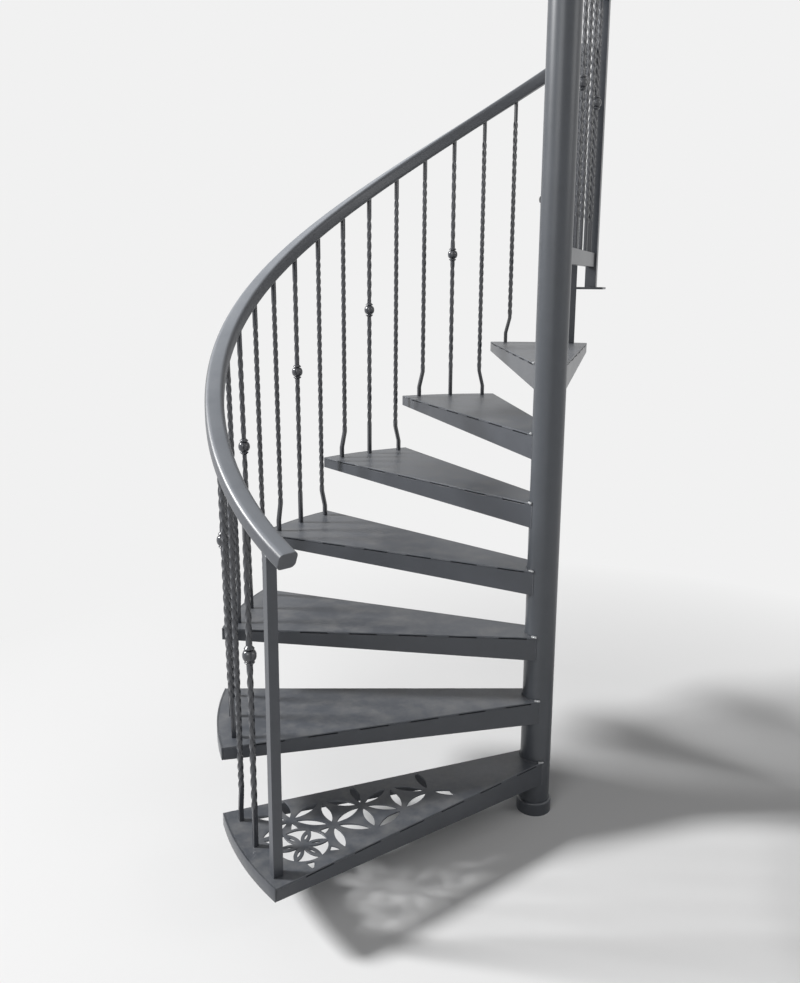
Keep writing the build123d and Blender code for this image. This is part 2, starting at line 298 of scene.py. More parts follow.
def side_bar(step, side):
    """A side bar's direction in radians, the unit vector along it and the one out of its outer face."""
    lean = math.radians(tread_angle(step) + side * SIDE_ANGLE)
    along = Vector((math.cos(lean), math.sin(lean), 0))
    return lean, along, Vector((-math.sin(lean), math.cos(lean), 0)) * side


def column_reach():
    """Angle at the column, in degrees, from a tread's middle to the outer face of its side bar."""
    return SIDE_ANGLE + math.degrees(math.asin(SIDE_OFFSET / (COLUMN_RADIUS + SEAT_GAP)))


def colour_setting(name, description, default):
    return bpy.props.FloatVectorProperty(
        name=name, description=description, subtype="COLOR", size=3, min=0, max=1, default=default
    )


def length_setting(name, description, default):
    return bpy.props.FloatProperty(name=name, description=description, default=default, unit="LENGTH")


class StairPaint(bpy.types.PropertyGroup):
    """Colours and gloss of the paint"""

    steel: colour_setting("Steel", "Paint of the side bars, rails and posts", (0.050, 0.055, 0.065))
    plate: colour_setting("Treads", "Paint of the tread plates", (0.074, 0.081, 0.094))
    column: colour_setting("Column", "Paint of the column", (0.058, 0.064, 0.074))
    # The balusters' colour is the steel's grey darkened: real paint with painted shade
    bars: colour_setting("Balusters", "Paint of the twisted balusters", (0.030, 0.033, 0.041))
    # Painted shade: near-black strips close the slits, where there is only shade
    slit: colour_setting("Slits", "Shaded strips behind the slits", (0.0060, 0.0066, 0.0082))
    # Painted highlight: the corner welds are painted light grey so they shine like glints
    weld: colour_setting("Welds", "Bright touched-up welds at the column", (0.36, 0.37, 0.38))
    # Painted sheen: a lighter grey for the handrail's top faces, where they catch the light
    top_sheen: colour_setting("Worn rail", "Handrail's top, dulled by hands and weather", (0.195, 0.210, 0.235))
    dust: colour_setting("Dust", "Dust that settles on level faces", (0.30, 0.29, 0.27))
    roughness: bpy.props.FloatProperty(
        name="Roughness",
        description="Roughness of the satin paint",
        default=0.37,
        min=0,
        max=1,
        subtype="FACTOR",
    )


class StairBars(bpy.types.PropertyGroup):
    """Sizes of the twisted balusters and their knuckles"""

    size: length_setting("Bar", "Side of the square bar", 0.012)
    plain_turn: length_setting("Plain turn", "Length of one full turn of a plain bar", 0.105)
    knuckled_turn: length_setting("Knuckled turn", "Length of one full turn of a bar with a knuckle", 0.130)
    straight_foot: length_setting("Straight foot", "Untwisted length above the tread", 0.100)
    straight_head: length_setting("Straight head", "Untwisted length below the rail", 0.060)
    kink_start: length_setting("Kink start", "Height where an outer bar begins to lean in", 0.035)
    kink_end: length_setting("Kink end", "Height where it is upright again", 0.090)
    knuckle_height: length_setting("Knuckle height", "Middle of the knuckle above the foot", 0.510)
    knuckle_diameter: length_setting("Knuckle", "Diameter of the forged ball", 0.035)
    collar_diameter: length_setting("Collar", "Diameter of the small collars", 0.0255)
    rings: bpy.props.IntProperty(
        name="Rings", description="Cross sections along one bar", default=220, min=20, max=600
    )


class StairStage(bpy.types.PropertyGroup):
    """Floor, light and camera"""

    floor: colour_setting("Floor", "Colour of the floor", (0.76, 0.76, 0.76))
    background: bpy.props.FloatProperty(
        name="Background", description="Brightness of the background", default=0.88, min=0, max=1
    )
    key: bpy.props.FloatProperty(
        name="Key", description="Power of the main lamp in watts", default=3080, min=0
    )
    front: bpy.props.FloatProperty(
        name="Front", description="Front lamp as a share of the main one", default=0.020, min=0, max=1
    )
    side: bpy.props.FloatProperty(
        name="Side", description="Side lamp as a share of the main one", default=0.009, min=0, max=1
    )
    fill: bpy.props.FloatProperty(
        name="Fill", description="Strength of the even light", default=0.14, min=0
    )
    height: length_setting("Eye height", "Height of the camera", 1.5598)


def mix_colour(tree, share, first, second):
    made = tree.node("ShaderNodeMix", {"Factor": share}, data_type="RGBA")
    for socket, value in ((made.inputs[6], first), (made.inputs[7], second)):
        tree.feed(socket, value if isinstance(value, Term) else (*value, 1.0))
    return Term(tree, made.outputs[2])


def painted_steel(name, colour, roughness, shine, mottle, dust, top_sheen):
    """Satin outdoor paint: slow mottling, fine orange peel, dust on the faces that lie level, and a painted
    sheen on those faces.

    dust and the painted sheen are each a colour and its share.
    """
    material = bpy.data.materials.new(name)
    material.use_nodes = True
    material.node_tree.nodes.clear()
    tree = Tree(material.node_tree)
    place = tree.term("ShaderNodeTexCoord", out="Object")
    upward = tree.term("ShaderNodeNewGeometry", out="Normal").parts()[2]

    def noise(scale, detail, rough=0.55):
        inputs = {"Vector": place, "Scale": scale, "Detail": detail, "Roughness": rough}
        return tree.term("ShaderNodeTexNoise", inputs, "Fac")

    slow = noise(3.2, 4.0)
    cloud = noise(17.0, 5.0, 0.62)
    speck = noise(210.0, 3.0)
    fine = noise(620.0, 2.0)
    # The coat is a little thicker and thinner in patches
    light = tuple(min(1.0, part * (1 + mottle)) for part in colour)
    dark = tuple(part * (1 - mottle) for part in colour)
    base = mix_colour(tree, ((slow * 0.45 + cloud * 0.55 - 0.32) * 2.6).clamp(), dark, light)
    # Only faces within about 50 degrees of level hold dust and get the painted sheen
    level = ((upward - 0.6) * 4.5).clamp()
    # Painted sheen: level faces are painted lighter in patches, as a top face that catches the light looks
    painted_sheen = level * (slow * 0.5 + cloud * 0.5 + 0.45).clamp()
    base = mix_colour(tree, (painted_sheen * top_sheen[1]).clamp(), base, top_sheen[0])
    settled = level * ((cloud - 0.42) * 3.2).clamp() * (0.55 + speck * 0.9)
    base = mix_colour(tree, (settled * dust[1]).clamp(), base, dust[0])
    rough = (roughness + (slow - 0.5) * 0.14 + (speck - 0.5) * 0.05 + settled * 0.18).clamp(0.08, 0.95)
    peel = tree.term(
        "ShaderNodeBump", {"Height": fine * 0.35 + speck * 0.65, "Strength": 0.03, "Distance": 0.0004}
    )
    shader = tree.term(
        "ShaderNodeBsdfPrincipled",
        {
            "Base Color": base,
            "Roughness": rough,
            "Normal": peel,
            "Specular IOR Level": shine,
            "Coat Weight": 0.12,
            "Coat Roughness": 0.25,
        },
    )
    tree.node("ShaderNodeOutputMaterial", {"Surface": shader})
    return material


def paint(finish):
    """The material of a finish, made once."""
    name = finish.replace("_paint", "") + "_finish"
    found = bpy.data.materials.get(name)
    if found:
        return found
    colours = bpy.context.scene.stair_paint
    setting, rougher, shine, mottle, dusty, top_sheen = FINISHES[finish]
    return painted_steel(
        name,
        tuple(getattr(colours, setting)),
        colours.roughness + rougher,
        shine,
        mottle,
        (tuple(colours.dust), dusty),
        (tuple(colours.top_sheen), top_sheen),
    )


def new_object(name, data):
    made = bpy.data.objects.new(name, data)
    bpy.context.scene.collection.objects.link(made)
    return made


def settle(obj, slot, *nodes, finish=None):
    """Gives a finished piece its paint, its body and the CAD nodes it stands for."""
    obj.data.materials.clear()
    obj.data.materials.append(paint(finish or slot))
    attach(obj, BODY)
    if nodes:
        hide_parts(*nodes)


def frozen(obj, name):
    """The evaluated object as a plain mesh of its own, with the modifiers gone."""
    bpy.context.view_layer.update()
    evaluated = obj.evaluated_get(bpy.context.evaluated_depsgraph_get())
    mesh = bpy.data.meshes.new_from_object(evaluated)
    bpy.data.objects.remove(obj)
    mesh.name = name
    return new_object(name, mesh)


def clean_copy(node):
    """A CAD node's mesh with its loose triangles joined and its flat faces whole."""
    work = bmesh.new()
    work.from_mesh(NODES[node].data)
    bmesh.ops.remove_doubles(work, verts=work.verts, dist=0.00002)
    bmesh.ops.dissolve_limit(
        work, angle_limit=math.radians(0.6), verts=work.verts, edges=work.edges, delimit={"NORMAL"}
    )
    return work


def openings(work):
    """The middle and the walls of each opening through a level plate; the plate's outline is left out."""
    work.normal_update()
    walls = {face: None for face in work.faces if abs(face.normal.z) < 0.1}
    while walls:
        ring = [walls.popitem()[0]]
        for face in ring:
            for edge in face.edges:
                for near in edge.link_faces:
                    if near in walls:
                        del walls[near]
                        ring.append(near)
        spots = {vert: None for face in ring for vert in face.verts}
        middle = sum((vert.co for vert in spots), Vector()) / len(spots)
        if max((vert.co - middle).length for vert in spots) < 0.2:
            yield middle, ring


def in_solid_band(middle):
    """Whether an opening of the lowest tread would lie in the solid band along the rim or a side bar."""
    turn = math.radians(tread_angle(0))
    along = middle.x * math.cos(turn) + middle.y * math.sin(turn)
    across = -middle.x * math.sin(turn) + middle.y * math.cos(turn)
    lean = math.radians(SIDE_ANGLE)
    edge = along * math.sin(lean) + SIDE_OFFSET - abs(across) * math.cos(lean)
    rosette = math.hypot(along - ROSETTE[0], across - ROSETTE[1])
    return along > RIM_BAND or (edge < SIDE_BAND and rosette > ROSETTE_REACH)


def close_openings(work, chosen):
    """Fills the openings whose middle is chosen, flush with both faces of the plate."""
    faces = [face for middle, ring in list(openings(work)) if chosen(middle) for face in ring]
    bmesh.ops.delete(work, geom=faces, context="FACES")
    bmesh.ops.holes_fill(work, edges=[edge for edge in work.edges if edge.is_boundary], sides=0)
    bmesh.ops.recalc_face_normals(work, faces=work.faces)


def eased_copy(node, name, slot, width, segments=2, closed=None):
    """A CAD node with small rounded edges, as rolled bar and cut plate have."""
    work = clean_copy(node)
    if closed:
        close_openings(work, closed)
    obj = new_object(name, as_mesh(work, name))
    bevel = obj.modifiers.new("Eased edges", "BEVEL")
    bevel.width = width
    bevel.segments = segments
    bevel.limit_method = "ANGLE"
    bevel.angle_limit = math.radians(35)
    settle(frozen(obj, name), slot, node)


def turned(profile, segments=96):
    """A lathe-turned mesh from (radius, height) pairs that start and end on the axis or close a ring."""
    work = bmesh.new()
    rings = []
    for radius, height in profile:
        count = segments if radius else 1
        angles = [2 * math.pi * i / segments for i in range(count)]
        rings.append([work.verts.new((radius * math.cos(a), radius * math.sin(a), height)) for a in angles])
    for low, high in zip(rings, rings[1:]):
        for i in range(segments):
            j = (i + 1) % segments
            if len(low) == 1:
                work.faces.new((low[0], high[j], high[i]))
            elif len(high) == 1:
                work.faces.new((low[i], low[j], high[0]))
            else:
                work.faces.new((low[i], low[j], high[j], high[i]))
    bmesh.ops.recalc_face_normals(work, faces=work.faces)
    for face in work.faces:
        face.smooth = True
    return work


def as_mesh(work, name, sharp=None):
    """A bmesh as a mesh, with the edges sharper than an angle in degrees marked."""
    if sharp is not None:
        for edge in work.edges:
            if len(edge.link_faces) == 2 and edge.calc_face_angle(0) > math.radians(sharp):
                edge.smooth = False
    mesh = bpy.data.meshes.new(name)
    work.to_mesh(mesh)
    work.free()
    return mesh


def rounded(corner, radius, start, end, steps=5):
    """Points of an arc about a corner centre, as (radius, height) pairs; angles in degrees."""
    made = []
    for i in range(steps + 1):
        turn = math.radians(start + (end - start) * i / steps)
        made.append((corner[0] + radius * math.cos(turn), corner[1] + radius * math.sin(turn)))
    return made


def geometry_tree(name, inputs):
    """A geometry tree with named inputs: its group, its maker of nodes, and its inputs as terms."""
    group = bpy.data.node_groups.new(name, "GeometryNodeTree")
    group.interface.new_socket("Geometry", in_out="INPUT", socket_type="NodeSocketGeometry")
    group.interface.new_socket("Geometry", in_out="OUTPUT", socket_type="NodeSocketGeometry")
    for label, kind, value in inputs:
        socket = group.interface.new_socket(label, in_out="INPUT", socket_type=kind)
        if value is not None:
            socket.default_value = value
    tree = Tree(group)
    entry = tree.node("NodeGroupInput")
    return group, tree, {socket.name: Term(tree, socket) for socket in entry.outputs if socket.name}


def end_tree(tree, geometry, material):
    """Makes the instances real and gives them their paint."""
    real = tree.term("GeometryNodeRealizeInstances", {"Geometry": geometry})
    finish = tree.term("GeometryNodeSetMaterial", {"Geometry": real, "Material": material})
    tree.node("NodeGroupOutput", {0: finish})


def run_tree(obj, group, values, name):
    """Runs a geometry tree on an object and returns the plain result."""
    modifier = obj.modifiers.new(group.name, "NODES")
    modifier.node_group = group
    for item in group.interface.items_tree:
        if item.item_type == "SOCKET" and item.in_out == "INPUT" and item.name in values:
            modifier[item.identifier] = values[item.name]
    return frozen(obj, name)


def twisted_bar_tree(bars):
    """Square bars that stand on points: kinked above the foot, twisted, and cut to the rail's slope."""
    inputs = [
        ("Size", "NodeSocketFloat", bars.size),
        ("Rings", "NodeSocketInt", bars.rings),
        ("Straight foot", "NodeSocketFloat", bars.straight_foot),
        ("Straight head", "NodeSocketFloat", bars.straight_head),
        ("Kink start", "NodeSocketFloat", bars.kink_start),
        ("Kink end", "NodeSocketFloat", bars.kink_end),
        ("Knuckle height", "NodeSocketFloat", bars.knuckle_height),
        ("Pause", "NodeSocketFloat", bars.knuckle_diameter),
        ("Knuckle", "NodeSocketObject", None),
        ("Material", "NodeSocketMaterial", None),
    ]
    group, tree, get = geometry_tree("Twisted bars", inputs)
    size = get["Size"]
    facing = tree.named("facing")
    height = tree.named("height")
    knuckled = tree.named("knuckle")

    # One upright bar a metre long, set on every point
    line = tree.term("GeometryNodeCurvePrimitiveLine", {"Start": (0, 0, 0), "End": (0, 0, 1)})
    spaced = tree.term("GeometryNodeResampleCurve", {"Curve": line, "Count": get["Rings"]})
    square = tree.term("GeometryNodeCurvePrimitiveQuadrilateral", {"Width": size, "Height": size})
    eased = tree.term("GeometryNodeFilletCurve", {"Curve": square, "Radius": size * 0.07})
    bar = tree.term("GeometryNodeCurveToMesh", {"Curve": spaced, "Profile Curve": eased, "Fill Caps": True})
    position = tree.term("GeometryNodeInputPosition")
    marked = tree.term(
        "GeometryNodeStoreNamedAttribute",
        {"Geometry": get["Geometry"], "Name": "seat", "Value": position},
        data_type="FLOAT_VECTOR",
        domain="POINT",
    )
    spread = tree.term("GeometryNodeInstanceOnPoints", {"Points": marked, "Instance": bar})
    solid = tree.term("GeometryNodeRealizeInstances", {"Geometry": spread})

    # Each bar is drawn out to its height, twisted between its straight ends, and not across its knuckle
    seat = tree.named("seat", "FLOAT_VECTOR")
    across, deep, share = tree.vector_math("SUBTRACT", position, seat).parts()
    up = share * height
    low = get["Straight foot"]
    turned_by = up.clamp(low, height - get["Straight head"]) - low
    hold_low = get["Knuckle height"] - get["Pause"]
    held = up.clamp(hold_low, get["Knuckle height"] + get["Pause"]) - hold_low
    angle = tree.named("rate") * (turned_by - knuckled * held)
    spun_x, spun_y = tree.turned_level(tree.vector(across, deep, 0.0), angle).parts()[:2]

    # The foot is kinked sideways, the bar leans out to the rail, and its last ring follows the rail's slope
    kinked = 1.0 - (up - get["Kink start"]).clamp() / (get["Kink end"] - get["Kink start"])
    shift = tree.named("shift") * kinked.clamp()
    tip = share.above(0.9995) * spun_x * tree.named("slope")
    stood = tree.vector(spun_x + shift, spun_y - tree.named("lean") * share, up + tip)
    placed = tree.vector_math("ADD", seat, tree.turned_level(stood, facing))
    moved = tree.term("GeometryNodeSetPosition", {"Geometry": solid, "Position": placed})

    # Knuckles sit on the marked bars only
    chosen = tree.term(
        "GeometryNodeSeparateGeometry",
        {"Geometry": get["Geometry"], "Selection": knuckled.above(0.5)},
        domain="POINT",
    )
    outward = 0.0 - tree.named("lean") * get["Knuckle height"] / height
    lifted = tree.turned_level(tree.vector(0.0, outward, get["Knuckle height"]), facing)
    raised = tree.term("GeometryNodeSetPosition", {"Geometry": chosen, "Offset": lifted})
    ball = tree.term("GeometryNodeObjectInfo", {"Object": get["Knuckle"]}, "Geometry")
    balls = tree.term("GeometryNodeInstanceOnPoints", {"Points": raised, "Instance": ball})
    joined = tree.node("GeometryNodeJoinGeometry")
    for part in (moved, balls):
        tree.feed(joined.inputs[0], part)
    end_tree(tree, joined.outputs[0], get["Material"])
    return group


def loose_points(name, rows):
    """A mesh of loose points, one for each row of a place and the named values that it carries."""
    mesh = bpy.data.meshes.new(name)
    mesh.from_pydata([place for place, values in rows], [], [])
    for label, first in rows[0][1].items():
        column = [values[label] for place, values in rows]
        if isinstance(first, tuple):
            layer = mesh.attributes.new(label, "FLOAT_VECTOR", "POINT")
            layer.data.foreach_set("vector", [part for value in column for part in value])
        else:
            layer = mesh.attributes.new(label, "FLOAT", "POINT")
            layer.data.foreach_set("value", column)
    return new_object(name, mesh)


def turn_rate(length, knuckled, bars):
    """Radians per metre that end the twist square with the rail."""
    twisted = length - bars.straight_foot - bars.straight_head
    if knuckled:
        twisted -= 2 * bars.knuckle_diameter
    turn = bars.knuckled_turn if knuckled else bars.plain_turn
    quarters = max(1, round(4 * twisted / turn))
    return quarters * math.pi / 2 / twisted


def bar_seat(bars, foot, facing, height, knuckled, shift=0.0, lean=0.0, slope=0.0):
    """The foot of a bar, with what its tree reads there."""
    return foot, {
        "facing": math.radians(facing),
        "height": height,
        "shift": shift,
        "lean": lean,
        "slope": slope,
        "rate": turn_rate(height, knuckled, bars),
        "knuckle": float(knuckled),
    }


def bead(spot, facing, ripple):
    """A weld bead: its middle, the way it faces in radians, and its three diameters."""
    return spot, {"facing": facing, "ripple": ripple}


def knuckle_profile(bars):
    """Forged ball with a cone-backed collar above and below, as (radius, height) pairs from the bottom up."""
    neck = bars.size * 0.5
    root = bars.size * 0.45
    ball = bars.knuckle_diameter / 2
    ring = bars.collar_diameter / 2
    eased = ring - 0.0012
    upper = [(neck, 0.0150), (eased, 0.0158), (ring, 0.0170), (ring, 0.0184), (eased, 0.0198)]
    upper += [(neck + 0.0018, 0.0235), (root, 0.0260), (0.0, 0.0262)]
    made = [(radius, -height) for radius, height in reversed(upper)]
    for i in range(1, 14):
        turn = math.pi * i / 14
        made.append((neck + (ball - neck) * math.sin(turn) ** 0.75, -0.0143 * math.cos(turn)))
    return made + upper


def stitch_tree():
    """Weld beads: overlapping ripples, one on each point and as large as the point says."""
    inputs = [
        ("Size", "NodeSocketFloat", 1.0),
        ("Seed", "NodeSocketInt", 4),
        ("Material", "NodeSocketMaterial", None),
    ]
    group, tree, get = geometry_tree("Stitch weld", inputs)
    ball = tree.term("GeometryNodeMeshUVSphere", {"Segments": 8, "Rings": 5, "Radius": 0.5})
    ripple = tree.term("GeometryNodeSetShadeSmooth", {"Geometry": ball})
    vary = {2: 0.85, 3: 1.15, "Seed": get["Seed"]}
    size = tree.term("FunctionNodeRandomValue", vary, 1, data_type="FLOAT") * get["Size"]
    spread = tree.term(
        "GeometryNodeInstanceOnPoints",
        {
            "Points": get["Geometry"],
            "Instance": ripple,
            "Rotation": tree.vector(0.0, 0.0, tree.named("facing")),
            "Scale": tree.vector_math(
                "MULTIPLY", tree.named("ripple", "FLOAT_VECTOR"), tree.vector(size, size, size)
            ),
        },
    )
    end_tree(tree, spread, get["Material"])
    return group


def rail_tree():
    """Handrail: a rounded tube drawn along its guide."""
    inputs = [
        ("Width", "NodeSocketFloat", RAIL_WIDTH),
        ("Depth", "NodeSocketFloat", RAIL_DEPTH),
        ("Corner", "NodeSocketFloat", RAIL_CORNER),
        ("Material", "NodeSocketMaterial", None),
    ]
    group, tree, get = geometry_tree("Handrail tube", inputs)
    path = tree.term("GeometryNodeMeshToCurve", {"Mesh": get["Geometry"]})
    level = tree.term("GeometryNodeSetCurveNormal", {"Curve": path}, mode="Z_UP")
    outline = tree.term(
        "GeometryNodeCurvePrimitiveQuadrilateral", {"Width": get["Width"], "Height": get["Depth"]}
    )
    eased = tree.term(
        "GeometryNodeFilletCurve", {"Curve": outline, "Radius": get["Corner"], "Count": 10}, mode="POLY"
    )
    tube = tree.term("GeometryNodeCurveToMesh", {"Curve": level, "Profile Curve": eased, "Fill Caps": True})
    end_tree(tree, tube, get["Material"])
    return group


class STAIR_OT_column(bpy.types.Operator):
    """Turn the column, its boot and its cap as smooth round pieces"""

    bl_idname = "stair.column"
    bl_label = "Column"

    def execute(self, context):
        low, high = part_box("column")
        bore = COLUMN_RADIUS - COLUMN_WALL
        tube = [(bore, low.z), (COLUMN_RADIUS, low.z), (COLUMN_RADIUS, high.z), (bore, high.z), (bore, low.z)]
        self.turn("round_column", tube, "column")

        low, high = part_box("column_foot")
        outer = high.x
        throat = COLUMN_RADIUS + BOOT_GAP
        # One ring just under the eased edge keeps the wall's shading straight
        boot = [(0.0, low.z), (outer, low.z), (outer, high.z - BOOT_EASE - 0.001)]
        boot += rounded((outer - BOOT_EASE, high.z - BOOT_EASE), BOOT_EASE, 0, 80)
        boot += [(throat, high.z), (throat, BASE_DISC), (0.0, BASE_DISC)]
        self.turn("boot", boot, "column_foot")

        low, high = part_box("column_cap")
        rim = low.z + CAP_RIM
        cap = [(0.0, low.z), (CAP_RADIUS - CAP_EASE, low.z), (CAP_RADIUS, low.z + CAP_EASE)]
        cap += [(CAP_RADIUS, rim - 0.0005)]
        for i in range(1, 12):
            turn = i / 12 * math.pi / 2
            cap.append((CAP_RADIUS * math.cos(turn), rim + (high.z - rim) * math.sin(turn)))
        cap += [(0.0, high.z)]
        self.turn("cap", cap, "column_cap")
        return {"FINISHED"}

    def turn(self, name, profile, node):
        settle(new_object(name, as_mesh(turned(profile, 128), name, 40)), "column_paint", node)


class STAIR_OT_treads(bpy.types.Operator):
    """Ease the edges of the tread plates and frames and add the stitch welds"""

    bl_idname = "stair.treads"
    bl_label = "Treads"

    def execute(self, context):
        stitch = stitch_tree()
        for step in range(TREADS):
            number = step + 1
            names = (f"tread_{number}_plate", f"tread_{number}_top", "plate_paint")
            if step == 0:
                eased_copy(*names, 0.0004, 1, in_solid_band)
            else:
                eased_copy(*names, 0.0008)
            eased_copy(f"tread_{number}_frame", f"tread_{number}_bars", "steel_paint", 0.0006)
            welds = (
                ("stitch", "steel_paint", self.stitch_beads(step)),
                ("column", "steel_paint", self.column_beads(step)),
                # The corner welds take the light grey weld colour, a painted highlight
                ("corner", "weld_paint", self.corner_beads(step)),
            )
            for label, finish, beads in welds:
                name = f"tread_{number}_{label}_beads"
                values = {"Material": paint(finish), "Seed": number}
                made = run_tree(loose_points(name + "_points", beads), stitch, values, name)
                settle(made, "steel_paint", finish=finish)
            settle(self.slit_strips(step), "steel_paint", finish="slit_paint")
        return {"FINISHED"}

    def slit_strips(self, step):
        """Painted shade: near-black strips behind the slits, so that each slit is a dark groove and lets no
        light by.
        """
        work = bmesh.new()
        top = tread_top(step) - PLATE - SEAT_GAP / 2
        for side in (1, -1):
            lean, along, out = side_bar(step, side)
            for start, end in SLITS:
                corners = []
                for height in (top - SLIT_DEPTH - 0.0008, top):
                    for reach in (start - WELD_MARGIN, end + WELD_MARGIN):
                        for depth in STRIP_DEPTHS:
                            spot = along * reach + out * (SIDE_OFFSET - depth) + Vector((0, 0, height))
                            corners.append(work.verts.new(spot))
                sides = ((0, 1, 3, 2), (4, 6, 7, 5), (0, 4, 5, 1), (2, 3, 7, 6), (0, 2, 6, 4), (1, 5, 7, 3))
                for face in sides:
                    work.faces.new([corners[i] for i in face])
        bmesh.ops.recalc_face_normals(work, faces=work.faces)
        name = f"tread_{step + 1}_slit_strips"
        return new_object(name, as_mesh(work, name))

    def stitch_beads(self, step):
        """Welds between the slits, where the plate's edge meets the outer face of a side bar."""
        starts = [WELD_START] + [end + WELD_MARGIN for start, end in SLITS]
        ends = [start - WELD_MARGIN for start, end in SLITS] + [WELD_END]
        rise = Vector((0, 0, tread_top(step) - PLATE - SEAT_GAP / 2))
        beads = []
        for side in (1, -1):
            lean, along, out = side_bar(step, side)
            for start, end in zip(starts, ends):
                count = max(2, int((end - start) / STITCH_PITCH))
                for i in range(count + 1):
                    spot = out * (SIDE_OFFSET - 0.0002) + along * (start + (end - start) * i / count) + rise
                    beads.append(bead(spot, lean, (0.0040, 0.0020, 0.0044)))
        return beads

    def column_beads(self, step):
        """Welds round the column over the plate, and down the end of each side bar."""
        turn = tread_angle(step)
        top = tread_top(step)
        reach = column_reach()
        count = int(math.radians(2 * reach) * COLUMN_RADIUS / ROUND_PITCH)
        beads = []
        for i in range(count + 1):
            angle = turn - reach + 2 * reach * i / count
            spot = at_angle(COLUMN_RADIUS + 0.0014, angle, top + 0.0006)
            beads.append(bead(spot, math.radians(angle), (0.0052, 0.0046, 0.0040)))
        for side in (1, -1):
            angle = turn + side * reach
            for i in range(DOWN_BEADS):
                spot = at_angle(COLUMN_RADIUS + 0.0002, angle, top - PLATE - 0.0015 - DOWN_PITCH * i)
                beads.append(bead(spot, math.radians(angle), (0.0024, 0.0050, 0.0040)))
        return beads

    def corner_beads(self, step):
        """Short bold welds over the plate, where the end of each side bar meets the column."""
        beads = []
        for side in (1, -1):
            for i in range(CORNER_BEADS):
                angle = tread_angle(step) + side * (column_reach() - CORNER_PITCH * i)
                spot = at_angle(COLUMN_RADIUS + 0.0030, angle, tread_top(step) + 0.0008)
                beads.append(bead(spot, math.radians(angle), (0.0092, 0.0056, 0.0066)))
        return beads


class STAIR_OT_balusters(bpy.types.Operator):
    """Twist the square balusters of the treads and of the landing guard"""

    bl_idname = "stair.balusters"
    bl_label = "Balusters"

    def execute(self, context):
        bars = context.scene.stair_bars
        knuckle = new_object("knuckle_shape", as_mesh(turned(knuckle_profile(bars), 40), "knuckle_shape"))
        group = twisted_bar_tree(bars)
        values = {"Knuckle": knuckle, "Material": paint("bar_paint")}
        seats = {f"tread_{step + 1}": self.tread_seats(bars, step) for step in range(TREADS)}
        seats["guard"] = self.guard_seats(bars)
        for part, rows in seats.items():
            name = f"{part}_twisted_bars"
            made = run_tree(loose_points(f"{part}_seats", rows), group, values, name)
            settle(made, "steel_paint", f"{part}_balusters", finish="bar_paint")
        bpy.data.objects.remove(knuckle)
        return {"FINISHED"}

    def tread_seats(self, bars, step):
        """Three bars to a tread; a newel stands for the outer one of the lowest and of the top tread."""
        places = [1, 0, -1]
        if step == 0:
            places.remove(1)
        if step == TREADS - 1:
            places.remove(-1)
        spread = BALUSTER_RADIUS * math.radians(BALUSTER_FOOT_ANGLE - BALUSTER_TOP_ANGLE)
        seats = []
        for place in places:
            angle = tread_angle(step) + place * BALUSTER_TOP_ANGLE
            foot = at_angle(BALUSTER_RADIUS, angle, tread_top(step) + SEAT_GAP)
            height = rail_underside(angle) - SEAT_GAP - foot.z
            lean = LEAN_SHARE * rail_swing(angle) * height / (height + RAIL_DEPTH)
            slope = rail_slope(angle)
            seats.append(bar_seat(bars, foot, angle + 90, height, place == 0, place * spread, lean, slope))
        return seats

    def guard_seats(self, bars):
        height = GUARD_TOP - GUARD_FOOT - 2 * SEAT_GAP
        seats = []
        for place in range(GUARD_BARS):
            foot = guard_point(GUARD_FIRST + place * GUARD_PITCH, GUARD_FOOT + SEAT_GAP)
            seats.append(bar_seat(bars, foot, GUARD_DIRECTION, height, place in GUARD_KNUCKLES))
        return seats


